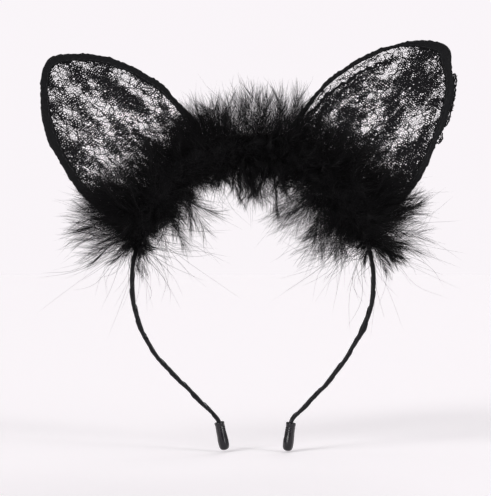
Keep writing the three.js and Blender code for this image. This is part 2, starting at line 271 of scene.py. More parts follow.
class Path:
    """A smooth line through ordered points, read by the distance along it."""

    def __init__(self, points, step=0.4):
        ends = np.vstack([2 * points[0] - points[1], points, 2 * points[-1] - points[-2]])
        t = np.linspace(0, 1, 8, endpoint=False)[:, None]
        runs = [
            0.5 * (2 * b + (c - a) * t + (2 * a - 5 * b + 4 * c - d) * t**2
                   + (3 * b - 3 * c + d - a) * t**3)
            for a, b, c, d in zip(ends, ends[1:], ends[2:], ends[3:])
        ]
        dense = np.vstack(runs + [points[-1:]])
        steps = np.linalg.norm(np.diff(dense, axis=0), axis=1)
        run = np.concatenate([[0], np.cumsum(steps)])
        self.length = run[-1]
        self.run = np.linspace(0, self.length, max(4, int(self.length / step)))
        self.points = np.stack([np.interp(self.run, run, column) for column in dense.T], 1)
        self.tangents = unit(np.gradient(self.points, self.run, axis=0))

    def at(self, distance):
        """The point and direction at each distance. Past an end the line goes straight on."""
        distance = np.asarray(distance, float)
        inside = np.clip(distance, 0, self.length)
        point, tangent = (
            np.stack([np.interp(inside, self.run, column) for column in table.T], -1)
            for table in (self.points, self.tangents)
        )
        tangent = unit(tangent)
        return point + (distance - inside)[..., None] * tangent, tangent

    def nearest(self, points):
        """For each point: the distance along the line of its nearest place, and how far away."""
        found, away = [], []
        for part in np.array_split(np.asarray(points, float), max(1, len(points) // 2000)):
            gap = np.linalg.norm(part[:, None] - self.points[None], axis=2)
            at = gap.argmin(1)
            found.append(self.run[at])
            away.append(gap[np.arange(len(part)), at])
        return np.concatenate(found), np.concatenate(away)


def node_points(node):
    """The corners of a CAD node, in millimetres, each one once."""
    vertices = frame["nodes"][node].data.vertices
    points = np.empty(len(vertices) * 3)
    vertices.foreach_get("co", points)
    return np.unique((points.reshape(-1, 3) / MM).round(3), axis=0)


def joint_place(name):
    """A CAD joint's position in millimetres, and its axis."""
    joint = next(j for j in frame["joints"] if j["name"] == name)
    return np.array(joint["pos_m"]) / MM, np.array(joint["axis"], float)


def centreline(node, reach):
    """The middle of each section of a CAD tube, in order along it, as (x, z)."""
    flat = node_points(node)[:, [0, 2]]
    near = np.linalg.norm(flat[:, None] - flat[None], axis=2) < reach
    labels = np.arange(len(flat))
    for _ in range(12):
        labels = np.where(near, labels[None], len(flat)).min(1)
    middles = np.array([flat[labels == k].mean(0) for k in np.unique(labels)])
    start = middles[:, 1].argmin()
    order, left = [start], set(range(len(middles))) - {start}
    while left:
        here = middles[order[-1]]
        following = min(left, key=lambda k: np.sum((middles[k] - here) ** 2))
        order.append(following)
        left.remove(following)
    return middles[order]


# ---------------------------------------------------------------- meshes
def make(name, points, faces, material, body, nodes=(), gap=None, smooth_faces=True):
    """A mesh piece that rides on a body. faces is a list of arrays, one for each number of
    corners. With a gap, points closer than that are joined and the mesh is closed."""
    mesh = bpy.data.meshes.new(name)
    faces = [np.asarray(f, np.int64) for f in faces if len(f)]
    corners = np.concatenate([f.ravel() for f in faces])
    sizes = np.concatenate([np.full(len(f), f.shape[1]) for f in faces])
    points = np.asarray(points, float).reshape(-1, 3)
    mesh.vertices.add(len(points))
    mesh.vertices.foreach_set("co", (points * MM).ravel())
    mesh.loops.add(len(corners))
    mesh.loops.foreach_set("vertex_index", corners.astype(np.int32))
    mesh.polygons.add(len(sizes))
    starts = np.concatenate([[0], np.cumsum(sizes)[:-1]])
    mesh.polygons.foreach_set("loop_start", starts.astype(np.int32))
    mesh.update(calc_edges=True)
    mesh.validate()
    if gap:
        close_up(mesh, gap)
    mesh.polygons.foreach_set("use_smooth", np.full(len(mesh.polygons), smooth_faces))
    mesh.materials.append(material)
    piece = bpy.data.objects.new(name, mesh)
    bpy.context.scene.collection.objects.link(piece)
    if body:
        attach(piece, body)
    if nodes:
        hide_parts(*nodes)
    return piece


def close_up(mesh, gap):
    """Joins points that lie on each other, closes what is open, and turns the faces outwards."""
    work = bmesh.new()
    work.from_mesh(mesh)
    bmesh.ops.remove_doubles(work, verts=work.verts, dist=gap * MM)
    bmesh.ops.dissolve_degenerate(work, edges=work.edges, dist=gap * MM)
    bmesh.ops.holes_fill(work, edges=[e for e in work.edges if e.is_boundary], sides=0)
    bmesh.ops.recalc_face_normals(work, faces=work.faces)
    work.to_mesh(mesh)
    work.free()


def skin(rows, columns, wrap_columns=True):
    """Quads between neighbouring points of a grid of points."""
    i = np.arange(rows - 1)
    j = np.arange(columns if wrap_columns else columns - 1)
    i, j = (a.ravel() for a in np.meshgrid(i, j, indexing="ij"))
    ni, nj = i + 1, (j + 1) % columns
    return np.stack([i * columns + j, i * columns + nj, ni * columns + nj, ni * columns + j], 1)


def rings(lines, turn):
    """For lines (n, m, 3): a ring of directions square to each point's way, (n, m, turn, 3),
    as its part along one direction and its part along the other."""
    tangent = unit(np.gradient(lines, axis=1))
    helper = np.zeros_like(tangent[:, :1])
    helper[np.arange(len(lines)), 0, np.abs(tangent.mean(1)).argmin(1)] = 1
    side = unit(np.cross(tangent, np.broadcast_to(helper, tangent.shape)))
    other = np.cross(tangent, side)
    cos, sin = np.cos(turn)[:, None], np.sin(turn)[:, None]
    return cos * side[:, :, None], sin * other[:, :, None]


def tubes(lines, radii, corners=8, flat=1.0):
    """Closed tubes round lines (n, m, 3). flat under 1 makes them wider than deep."""
    n, m = lines.shape[:2]
    radii = np.broadcast_to(radii, (n, m))[:, :, None, None]
    wide, deep = rings(lines, np.arange(corners) * TURN / corners)
    points = (lines[:, :, None] + (wide + deep * flat) * radii).reshape(-1, 3)
    first = np.arange(n)[:, None] * m * corners
    sides = (first[:, :, None] + skin(m, corners)[None]).reshape(-1, 4)
    start = first + np.arange(corners)[::-1]
    end = first + (m - 1) * corners + np.arange(corners)
    return points, [sides[:, ::-1], start[:, ::-1], end[:, ::-1]]


def strands(lines, thick, tip):
    """Three-sided fibres that taper from thick to a point, along lines (n, m, 3)."""
    n, m = lines.shape[:2]
    wide, deep = rings(lines, np.arange(3) * TURN / 3)
    radii = (thick[:, None] * (1 - np.linspace(0, 1, m)) ** 0.7 + tip)[:, :-1, None, None]
    points = (lines[:, :-1, None] + (wide + deep)[:, :-1] * radii).reshape(n, -1, 3)
    points = np.concatenate([points, lines[:, -1:]], 1)
    each = points.shape[1]
    first = np.arange(n)[:, None, None] * each
    sides = (first + skin(m - 1, 3)[None, :, ::-1]).reshape(-1, 4)
    a, b, c = np.arange(3) + (m - 2) * 3
    ends = (first + [[a, b, each - 1], [b, c, each - 1], [c, a, each - 1]]).reshape(-1, 3)
    base = (first + [[0, 2, 1]]).reshape(-1, 3)
    return points.reshape(-1, 3), [sides, ends[:, ::-1], base[:, ::-1]]


def joined(parts):
    """Several (points, faces) shapes as one."""
    points, faces, base = [], [], 0
    for p, fs in parts:
        points.append(p)
        faces += [np.asarray(f) + base for f in fs if len(f)]
        base += len(p)
    return np.concatenate(points), faces


# ---------------------------------------------------------------- materials
def add_node(tree, kind, **sockets):
    """A new shader node with these values in its sockets."""
    node = tree.nodes.new("ShaderNode" + kind)
    set_sockets(node, **sockets)
    return node


def set_sockets(node, **sockets):
    for socket, value in sockets.items():
        node.inputs[socket.replace("_", " ")].default_value = value


def shader(name, colour, rough, grain_scale=600, bump=0.0, bump_scale=2500, vary=0.0, **sockets):
    """A finish: roughness from noise, fine relief, and a colour that varies by this part."""
    material = bpy.data.materials.new(name)
    material.use_nodes = True
    tree = material.node_tree
    link = tree.links.new
    main = tree.nodes["Principled BSDF"]
    set_sockets(main, Base_Color=(*colour, 1), **sockets)
    place = add_node(tree, "TexCoord")
    grain = add_node(tree, "TexNoise", Scale=grain_scale, Detail=3)
    spread = add_node(tree, "MapRange", From_Min=0.3, From_Max=0.7, To_Min=rough[0],
                      To_Max=rough[1])
    link(place.outputs["Object"], grain.inputs["Vector"])
    link(grain.outputs["Fac"], spread.inputs["Value"])
    link(spread.outputs["Result"], main.inputs["Roughness"])
    if vary:
        ramp = add_node(tree, "ValToRGB")
        for element, position, change in zip(ramp.color_ramp.elements, (0.35, 0.68), (-vary, vary)):
            element.position = position
            element.color = (*(c * (1 + change) for c in colour), 1)
        link(grain.outputs["Fac"], ramp.inputs["Fac"])
        link(ramp.outputs["Color"], main.inputs["Base Color"])
    if bump:
        weave = add_node(tree, "TexNoise", Scale=bump_scale, Detail=2)
        relief = add_node(tree, "Bump", Strength=bump, Distance=0.0001)
        link(place.outputs["Object"], weave.inputs["Vector"])
        link(weave.outputs["Fac"], relief.inputs["Height"])
        link(relief.outputs["Normal"], main.inputs["Normal"])
    return material


SATIN = shader("satin_ribbon", (0.004, 0.004, 0.0055), (0.24, 0.40), 500, 0.35, 2600, 0.35,
               Sheen_Weight=0.01, Sheen_Roughness=0.3, Specular_IOR_Level=0.2)
VINYL = shader("soft_cap", (0.0035, 0.0025, 0.005), (0.12, 0.2), 300, 0.1, 900, 0.3,
               Specular_IOR_Level=0.46)
LACE = shader("lace", (0.0036, 0.0034, 0.0045), (0.4, 0.7), 900, 0.4, 4000,
              Sheen_Weight=0.01, Sheen_Roughness=0.5, Specular_IOR_Level=0.13)
BORDER = shader("edge_binding", (0.0032, 0.0032, 0.004), (0.45, 0.75), 800, 1.0, 1800, 0.5,
                Sheen_Weight=0.015, Sheen_Roughness=0.5, Specular_IOR_Level=0.13)
THREAD = shader("thread", (0.008, 0.008, 0.0095), (0.4, 0.6), 1500, 0.5, 5000, 0.3,
                Sheen_Weight=0.06, Sheen_Roughness=0.4, Specular_IOR_Level=0.25)
CORD = shader("core_cord", (0.018, 0.017, 0.018), (0.6, 0.8), 900, 0.7, 3500, 0.3,
              Sheen_Weight=0.2, Sheen_Roughness=0.5)
DOWN = shader("marabou_down", (0.0050, 0.0046, 0.0054), (0.45, 0.75), 120,
              Specular_IOR_Level=0.10, Sheen_Weight=0.02, Sheen_Roughness=0.5)
STEEL = shader("spring_steel", (0.34, 0.35, 0.37), (0.25, 0.45), 900, 0.3, 1500, 0.15,
               Metallic=1.0)
WIRE = shader("ear_wire", (0.10, 0.10, 0.105), (0.3, 0.5), 900, 0.3, 1500, 0.2, Metallic=1.0)

# ---------------------------------------------------------------- the hoop's line
left_line, crown_line, right_line = (
    centreline(f"hoop_strip_{part}", 1.3) for part in ("arm_left", "crown", "arm_right")
)
if crown_line[0, 0] > crown_line[-1, 0]:
    crown_line = crown_line[::-1]
hoop = Path(np.vstack([left_line, crown_line, right_line[::-1]]))
TOP_AT = hoop.run[hoop.points[:, 1].argmax()]
SIDE_LENGTH = {"left": TOP_AT, "right": hoop.length - TOP_AT}


def on_hoop(distance):
    """Point, direction and outward direction, as (x, z), at distances from the hoop's top.
    Left is negative."""
    point, tangent = hoop.at(TOP_AT + np.asarray(distance, float))
    return point, tangent, np.stack([-tangent[..., 1], tangent[..., 0]], -1)


def lift(flat, y):
    """(x, z) points and a y for each as (x, y, z)."""
    flat = np.asarray(flat, float)
    return np.stack([flat[..., 0], np.broadcast_to(y, flat.shape[:-1]), flat[..., 1]], -1)


def hoop_place(points):
    """Signed distance along the hoop and distance outward from it, for (x, z) points."""
    along, away = hoop.nearest(points)
    at, _, outward = on_hoop(along - TOP_AT)
    return along - TOP_AT, away * np.sign(np.sum((points - at) * outward, 1) + 1e-9)


def node_on_hoop(node):
    """A CAD node's corners as distance along the hoop, distance outward from it, and y."""
    points = node_points(node)
    return (*hoop_place(points[:, [0, 2]]), points[:, 1])


# ---------------------------------------------------------------- ribbon
def make_ribbon(side):
    """Satin ribbon wound round the strip: each lap starts as a step and sinks to the next."""
    rng = np.random.default_rng(SEED + (side == "right"))
    reach = np.abs(node_on_hoop(f"ribbon_wrap_arm_{side}")[0]).max()
    begin = -RIBBON_OVERLAP
    # The rows of one lap: how far on each is, and how high the ribbon stands there.
    across = np.concatenate([[0, 0.012, 0.035], np.linspace(0.08, 0.955, 20), [0.985]])
    height = np.concatenate([[0.82, 0.98, 1.0], np.linspace(0.97, 0.1, 20), [0.0]])
    per_lap, around = len(across), 40
    laps = int(reach / LAP_PITCH) + 4
    pitches = LAP_PITCH * rng.uniform(0.86, 1.14, laps + 2)
    lap_ends = begin - LAP_PITCH * 1.3 + np.concatenate([[0], np.cumsum(pitches)])
    rows = laps * per_lap
    turn = np.arange(around) / around
    lap = (np.tile(across, laps) + np.repeat(np.arange(laps), per_lap))[:, None] + turn
    distance = np.clip(np.interp(lap, np.arange(len(lap_ends)), lap_ends), begin, reach)
    c, s = np.cos(turn * TURN), np.sin(turn * TURN)
    add = np.tile(height, laps)[:, None] * RIBBON_STEP - RIBBON_SLACK
    add = add + 0.22 * ripple(1.0, 5, distance * 0.5 + lap * 6, turn * TURN * 2.2)
    add += 0.34 * ripple(5.0, 6, distance, c * 2, s * 2)
    if side == "right":
        place, swell, wide = SWELLING
        add += swell * bump_at(distance, place * reach, wide)
    point, _, outward = on_hoop(distance * SIGN[side])
    flat = point + outward * ((WRAP_HALF_THICK + add) * squared(c, RIBBON_SQUARENESS))[..., None]
    points = lift(flat, (WRAP_HALF_DEEP + add) * squared(s, RIBBON_SQUARENESS))
    keep = (distance.max(1) > begin + 1e-6) & (distance.min(1) < reach - 1e-6)
    first, last = np.flatnonzero(keep)[[0, -1]]
    points = points[max(first - 1, 0):min(last + 1, rows - 1) + 1]
    # At the seam a row meets the start of the row one lap on, so the quads there skip a lap.
    rows = len(points)
    grid = np.arange(rows * around).reshape(rows, around)
    seam = (grid[:-1 - per_lap, -1], grid[per_lap:-1, 0], grid[1 + per_lap:, 0],
            grid[1:-per_lap, -1])
    quads = np.concatenate([skin(rows, around, wrap_columns=False), np.stack(seam, 1)])
    piece = make(f"ribbon_{side}", points, [quads], SATIN, None,
                 [f"ribbon_wrap_arm_{side}", "ribbon_wrap_crown"], gap=0.004)
    flex, _ = joint_place(f"arm_{side}_flex")
    flex_at = abs(hoop_place(flex[None, [0, 2]])[0][0])
    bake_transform(piece)


# ---------------------------------------------------------------- end caps
def make_cap(side):
    """A soft moulded cap: a rolled lip, lengthwise grooves, a fuller end and an open socket."""
    _, tangent, _ = on_hoop(SIDE_LENGTH[side] * SIGN[side])
    axis = tangent * SIGN[side]
    square = np.array([-axis[1], axis[0]])
    points = node_points(f"end_cap_{side}")
    along = points[:, [0, 2]] @ axis
    middle, belly = middle_and_half(points[:, [0, 2]] @ square)
    deep = middle_and_half(points[:, 1])[1] / belly
    outside = Path(np.array(CAP_OUTSIDE[::-1]), 0.22).points
    section = np.vstack([outside, CAP_SOCKET[::-1]])
    place, radius = section[:, :1], section[:, 1:]
    outer = (np.arange(len(section)) < len(outside))[:, None]
    around = 56
    angle = np.arange(around) / around * TURN
    t = place * (along.max() - along.min()) / CAP_LENGTH_DRAWN
    grooves = sum(
        depth * bump_at(angle_from(angle, at), 0, wide) for at, wide, depth in CAP_GROOVES
    )
    # The flats on the front, left by the mould, carry the highlights.
    flats = np.ones(around)
    for at, half in CAP_FLATS:
        off, half = angle_from(angle, math.radians(at)), math.radians(half)
        close = np.abs(off) < half * 1.5
        flats[close] = np.minimum(flats[close], math.cos(half) / np.cos(off[close]))
    window = smooth(1.2, 2.6, place) * (1 - smooth(11.2, 13.2, place))
    r = radius * belly * (1 - outer * window * (grooves + 1 - flats))
    dent = ripple(2.3, 11, t, np.cos(angle) * 2, np.sin(angle) * 2) * 0.10
    wrinkle = np.sin(t * 5.2 + 22 * dent) * 0.028
    wrinkle = wrinkle * smooth(1.4, 2.0, place) * (1 - smooth(3.6, 5.4, place))
    r = np.maximum(r + outer * (dent + wrinkle) * (radius > 0.2), 0)
    flat = axis * (along.min() + t)[..., None] + square * (middle + r * np.cos(angle))[..., None]
    make(f"cap_{side}", lift(flat, r * np.sin(angle) * deep), [skin(len(section), around)],
         VINYL, f"arm_{side}", [f"end_cap_{side}"], gap=0.004)


# ---------------------------------------------------------------- ears
class Ear:
    """An ear's own frame, and the line of its wire."""

    def __init__(self, side):
        origin, axis = joint_place(f"ear_{side}_tilt")
        self.side, self.body = side, f"ear_{side}"
        self.origin = origin[[0, 2]]
        self.u = unit(axis)[[0, 2]]
        if self.u[0] * SIGN[side] > 0:
            self.u = -self.u
        self.v = np.array([-self.u[1], self.u[0]])
        if self.v[1] < 0:
            self.v = -self.v
        self.wire = Path(centreline(f"ear_wire_{side}", 0.9))
        ends = self.local(self.wire.points[[0, -1]])
        if ends[0, 0] < ends[1, 0]:
            self.wire = Path(self.wire.points[::-1])
        tangent = self.wire.tangents
        normal = np.stack([-tangent[:, 1], tangent[:, 0]], 1)
        inwards = self.wire.points.mean(0) - self.wire.points
        self.turn = np.sign(np.sum(normal * inwards, 1).sum())
        along, _ = self.wire.nearest(node_points(f"edge_binding_{side}")[:, [0, 2]])
        self.start, self.end = along.min(), along.max()

    def local(self, flat):
        """(x, z) points as (u, v)."""
        away = flat - self.origin
        return np.stack([away @ self.u, away @ self.v], -1)

    def world(self, uv):
        """(u, v) points as (x, z)."""
        return self.origin + uv[..., :1] * self.u + uv[..., 1:] * self.v

    def wire_uv(self, distance):
        """(u, v) at distances along the wire."""
        return self.local(self.wire.at(distance)[0])

    def edge(self, distance, inward):
        """(x, z) at distances along the wire, and this far inside the ear's outline."""
        point, tangent = self.wire.at(distance)
        normal = np.stack([-tangent[..., 1], tangent[..., 0]], -1) * self.turn
        return point + normal * (np.asarray(inward) - WIRE_INSET)[..., None]

    def inside(self, flat):
        """How far inside the ear's outline (x, z) points are; negative is outside."""
        line = self.wire.points
        count = np.zeros(len(flat), int)
        for a, b in zip(line, np.roll(line, -1, axis=0)):
            crosses = (a[1] > flat[:, 1]) != (b[1] > flat[:, 1])
            if crosses.any():
                x = a[0] + (flat[:, 1] - a[1]) * (b[0] - a[0]) / (b[1] - a[1] + 1e-12)
                count += crosses & (flat[:, 0] < x)
        _, away = self.wire.nearest(flat)
        return np.where(count % 2 == 1, away, -away) + WIRE_INSET


def border_width(ear, distance):
    """The binding's width at distances along the wire."""
    uv = ear.wire_uv(distance)
    ragged = ripple(3.1, 21, distance) * 0.9 + ripple(0.9, 22, distance) * 0.45
    outer = smooth(8, -8, uv[..., 0])
    if ear.side == "left":
        return 3.5 + 0.9 * np.maximum(outer, smooth(60, 84, uv[..., 1])) + ragged
    return 2.25 + 1.3 * outer + 2.6 * smooth(80, 94, uv[..., 1]) + ragged * 0.6


def make_border(ear):
    """The lace's edge folded over the wire: raised over the wire, thin and uneven at its end."""
    count = int((ear.end - ear.start) / 0.45)
    distance = np.linspace(ear.start, ear.end, count)
    shape = [(n, -y) for n, y in BORDER_OUTSIDE] + [(n, y) for n, y in BORDER_OUTSIDE[::-1]]
    shape += [(n, y) for n, y in BORDER_INSIDE[::-1]] + [(n, -y) for n, y in BORDER_INSIDE[1:]]
    part, y = np.array(shape).T
    along = distance[:, None].repeat(len(shape), 1)
    kept = BORDER_FOLD * BORDER_WIDTH_DRAWN
    spare = border_width(ear, distance)[:, None] - kept
    stretched = kept + (part - BORDER_FOLD) / (1 - BORDER_FOLD) * spare
    inward = np.where(part <= BORDER_FOLD, BORDER_WIDTH_DRAWN * part, stretched)
    lumps = ripple(0.95, 23, along, inward, y * 2)
    folds = ripple(1.6, 24, along * 0.35, inward, y * 2)
    outside = np.arange(len(shape)) < 2 * len(BORDER_OUTSIDE)
    y = y + np.sign(y) * (lumps * 0.26 + folds * 0.3) * outside * (np.abs(y) > 0.1)
    kinks = ripple(6.5, 25, along) + ripple(1.2, 26, along) * 0.5
    for u, v, out, wide in CORNERS[ear.side]:
        (at,), _ = ear.wire.nearest(ear.world(np.array([[u, v]])))
        kinks = kinks - out * bump_at(along, at, wide)
    inward = inward + kinks * (1 - smooth(0.0, 2.4, inward)) + lumps * 0.16 * outside
    make(f"border_{ear.side}", lift(ear.edge(along, inward), y), [skin(count, len(shape))],
         BORDER, ear.body, [f"edge_binding_{ear.side}"], gap=0.001)


def make_stitches(ear):
    """Running stitches through both sides of the binding, close to its inner edge."""
    starts = np.arange(ear.start + 2, ear.end - 3, STITCH_PITCH)
    rng = np.random.default_rng(SEED + 30)
    t = np.linspace(0, 1, 9)
    lines = []
    for face in (-1, 1):
        shift = rng.uniform(-0.25, 0.25, len(starts)) + (STITCH_PITCH / 2 if face > 0 else 0)
        distance = (starts + shift)[:, None] + t * STITCH_LENGTH
        inward = border_width(ear, distance).mean(1, keepdims=True) - 0.85
        inward = inward + rng.uniform(-0.12, 0.12, (len(starts), 1))
        y = face * (0.62 + 0.42 * np.sin(t * math.pi) ** 0.5)
        lines.append(lift(ear.edge(distance, inward), y))
    points, faces = tubes(np.concatenate(lines), STITCH_RADIUS)
    make(f"stitches_{ear.side}", points, faces, THREAD, ear.body,
         [f"edge_stitching_{ear.side}"])


def to_segment(points, line):
    """The distance from each point to the line between two ends, given as (u, v, u, v)."""
    start, way = np.array(line[:2]), np.array(line[2:]) - line[:2]
    part = np.clip((points - start) @ way / (way @ way), 0, 1)
    return np.linalg.norm(points - start - part[:, None] * way, axis=1)


def fold_inset(height):
    """How far inside the right ear's outline its second fold runs, at heights up the ear."""
    return 4.1 + 3.0 * smooth(16, 62, height)


def lace_work(ear, uv):
    """How closely the lace is worked at (u, v) points: 0 is open net and 1 is solid."""
    number = 55 + 100 * (ear.side == "right")
    u, v = uv.T
    slant = u + 0.10 * v
    streaks = ripple(3.6, number, slant, v * 0.30)
    patches = ripple(2.3, number + 1, slant, v * 0.5)
    spots = ripple(1.2, number + 2, u, v * 0.8)
    work = smooth(-0.28, 0.28, 0.42 * streaks + 0.34 * patches + 0.24 * spots)
    ragged = 1.0 + 0.9 * ripple(1.7, number + 4, slant, v * 0.6)
    for *line, wide, change in STREAKS[ear.side]:
        work = work + 0.72 * change * bump_at(to_segment(uv, line), 0, wide * ragged)
    inset = ear.inside(ear.world(uv))
    near_edge = 1 - smooth(4.0, 8.5, inset)
    low = 1 - smooth(12, 30, v)
    work = work + 0.20 * near_edge * (0.4 + low) + 0.16 * low
    if ear.side == "right":
        beside_fold = 1 - smooth(-0.9, 0.1, inset - fold_inset(v))
        beside_fold = beside_fold * smooth(2, 8, u) * smooth(12, 34, v) * (1 - smooth(76, 86, v))
        outer_strip = bump_at(inset, 4.9, 0.8) * (u < 0) * bump_at(v, 66, 14)
        work = work + RIGHT_EAR_CLOSER - 0.85 * beside_fold - 0.7 * outer_strip
    return np.clip(work, 0, 1)


def lattice(keep, wide, tall, number):
    """The corners of an uneven net of six-sided meshes, and each mesh's corners by number."""
    columns = int(2 * LATTICE_HALF_WIDE / wide)
    rows = int((LATTICE_TALL - LATTICE_LOW) / (tall * 0.75))
    i, j = (a.ravel() for a in np.meshgrid(np.arange(columns), np.arange(rows), indexing="ij"))
    u, v = -LATTICE_HALF_WIDE + (i + 0.5 * (j % 2)) * wide, LATTICE_LOW + j * tall * 0.75
    corner = np.array([(0, 2), (2, 1), (2, -1), (0, -2), (-2, -1), (-2, 1)]) / 4
    points = np.stack([u, v], 1)[:, None] + corner * (wide, tall)
    points = points[keep(np.stack([u - LATTICE_LEAN * v, v], 1))]
    step = (wide * 0.25, tall * 0.125)
    key = np.round(points.reshape(-1, 2) / step).astype(np.int64)
    unique, index = np.unique(key, axis=0, return_inverse=True)
    shared = unique * step
    shake = np.stack([hashed(unique, number), hashed(unique, number + 1)], 1) - 0.5
    warp = np.stack([ripple(3.5, number + 2, *shared.T), ripple(3.5, number + 3, *shared.T)], 1)
    shared = shared + shake * (0.6 * wide, 0.56 * tall) + warp * 1.8
    shared[:, 0] -= LATTICE_LEAN * shared[:, 1]
    return shared, index.reshape(-1, 6)


def sheet_wave(uv, number):
    """How far the lace bows out of its plane at (u, v) points."""
    u, v = uv[..., 0], uv[..., 1]
    return ripple(6.0, number, u, v) * 0.14 + ripple(1.3, number + 1, u, v) * 0.05


def net(ear, keep, work_at, y_middle, thick, number, shift=(0.0, 0.0)):
    """A net of uneven six-sided meshes, each thread as wide as the work there asks.
    Every hole is a real one."""
    shared, index = lattice(keep, CELL, CELL * CELL_STRETCH, number)
    work = work_at(shared)[index]
    shared = shared + shift
    ring = shared[index]
    middle = ring.mean(1)
    own = hashed(np.round(middle * 50).astype(np.int64), number + 7)[:, None]
    close = own < CLOSE_SHARE + CLOSE_MORE * work.mean(1, keepdims=True) ** 1.2
    open_part = np.where(close, CLOSE_HOLE - CLOSE_HOLE_LESS * work,
                         OPEN_HOLE - OPEN_HOLE_LESS * work)
    open_part = np.clip(open_part + (own % 0.19 - 0.09), LEAST_HOLE, OPEN_HOLE)
    holed = open_part.mean(1) >= FILLED_BELOW
    holes = middle[:, None] + (ring - middle[:, None]) * open_part[..., None]
    flat = np.concatenate([shared, holes[holed].reshape(-1, 2)])
    count = len(flat)
    rim, solid = index[holed], index[~holed]
    inner = len(shared) + np.arange(rim.size).reshape(-1, 6)
    rim_next, inner_next = np.roll(rim, -1, axis=1), np.roll(inner, -1, axis=1)
    top = np.stack([rim, rim_next, inner_next, inner], -1).reshape(-1, 4)
    hole_walls = np.stack([inner_next, inner_next + count, inner + count, inner], -1)
    edges = np.stack([index, np.roll(index, -1, axis=1)], -1).reshape(-1, 2)
    _, where, times = np.unique(np.sort(edges, 1), axis=0, return_index=True, return_counts=True)
    a, b = edges[where[times == 1]].T
    edge_walls = np.stack([a, a + count, b + count, b], 1)
    y = y_middle + sheet_wave(flat, number + 4)
    placed = ear.world(flat)
    points = np.concatenate([lift(placed, y - thick / 2), lift(placed, y + thick / 2)])
    fours = np.concatenate([top, top[:, ::-1] + count, hole_walls.reshape(-1, 4), edge_walls])
    sixes = np.concatenate([solid, solid[:, ::-1] + count])
    if np.cross(ear.u, ear.v) < 0:
        fours, sixes = fours[:, ::-1], sixes[:, ::-1]
    area = len(index) * CELL * CELL * CELL_STRETCH * 0.75
    return points, [fours, sixes], area


def stems_of(rng):
    """Long stems of the lace's pattern as (u, v), cut in short runs of seven points."""
    runs = []
    for foot, lean in STEMS:
        v = np.arange(14, 84, 0.8)
        sway = 1.6 * np.sin(v / rng.uniform(5, 8) + rng.uniform(0, 6)) + 0.5 * np.sin(v / 2.1)
        line = np.stack([foot + lean * (v - 20) + sway, v], 1)
        runs += [line[k:k + 7] for k in range(0, len(line) - 7, 6)]
    return np.array(runs)[rng.uniform(size=len(runs)) > 0.35]


def crackle(ear, keep, y_side, number, rng):
    """The heavier threads that run over the net in long uneven cells, with gaps."""
    shared, index = lattice(keep, CRACKLE, CRACKLE * CRACKLE_STRETCH, number + 20)
    edges = np.stack([index, np.roll(index, -1, axis=1)], -1).reshape(-1, 2)
    edges = np.unique(np.sort(edges, 1), axis=0)
    edges = edges[hashed(edges, number + 21) > 0.22]
    start = shared[edges[:, :1]]
    way = shared[edges[:, 1:]] - start
    t = np.linspace(0, 1, 7)
    bend = rng.uniform(-0.22, 0.22, (len(edges), 1)) * np.sin(t * math.pi)
    bend = bend + rng.uniform(-0.03, 0.03, (len(edges), 7))
    flat = start + t[:, None] * way + bend[..., None] * (way[..., ::-1] * (-1, 1))
    flat = np.concatenate([flat, stems_of(rng)])
    flat = flat[keep(flat.reshape(-1, 2)).reshape(flat.shape[:2]).all(1)]
    y = y_side * (LACE_GAP + LACE_THICK + 0.05) + sheet_wave(flat, number + 4)
    thick = rng.uniform(0.13, 0.24, (len(flat), 1)) * rng.uniform(0.85, 1.15, (len(flat), 7))
    return tubes(lift(ear.world(flat), y), thick, 6)


def make_lace(ear, face, y_side, shift):
    """One of an ear's two layers of lace: the net, and the raised threads of its pattern."""
    right = ear.side == "right"
    number = 60 + 2 * right

    def keep(uv):
        flat = ear.world(uv)
        return (ear.inside(flat) > LACE_INSET) & (hoop_place(flat)[1] > LACE_ABOVE_HOOP)

    points, faces, area = net(ear, keep, lambda uv: lace_work(ear, uv),
                              y_side * (LACE_GAP + LACE_THICK / 2), LACE_THICK, number, shift)
    panel = make(f"lace_{face}_net_{ear.side}", points, faces, LACE, ear.body,
                 [f"lace_{face}_{ear.side}"], smooth_faces=False)
    points, faces = crackle(ear, keep, y_side, number, np.random.default_rng(SEED + 70 + right))
    cords = make(f"lace_{face}_cords_{ear.side}", points, faces, LACE, ear.body)
    uv = ear.local(node_points(f"lace_{face}_{ear.side}")[:, [0, 2]])


def make_hem(ear):
    """The lace's lower edge, folded and gathered along the top of the hoop."""
    along, outward, y = node_on_hoop(f"base_hem_{ear.side}")
    count, around = int((along.max() - along.min()) / 0.35), 22
    distance = np.linspace(along.min(), along.max(), count)[:, None]
    middle, half = middle_and_half(outward)
    turn = np.linspace(0, TURN, around, endpoint=False)
    out_shape, deep_shape = squared(np.cos(turn), 0.75), squared(np.sin(turn), 0.8)
    gather, ragged = ripple(1.5, 81, distance) * 0.34, ripple(2.4, 82, distance) * 0.9
    out = middle + out_shape * (half + 0.5 * ragged * (out_shape > 0))
    lumps = ripple(0.8, 83, distance, out, np.sin(turn)) * 0.22
    point, _, way = on_hoop(distance)
    deep = deep_shape * (np.abs(y).max() * 0.86 + gather + lumps)
    points = lift(point + way * out[..., None], deep)
    make(f"hem_{ear.side}", points, [skin(count, around)], BORDER, ear.body,
         [f"base_hem_{ear.side}"], gap=0.001)


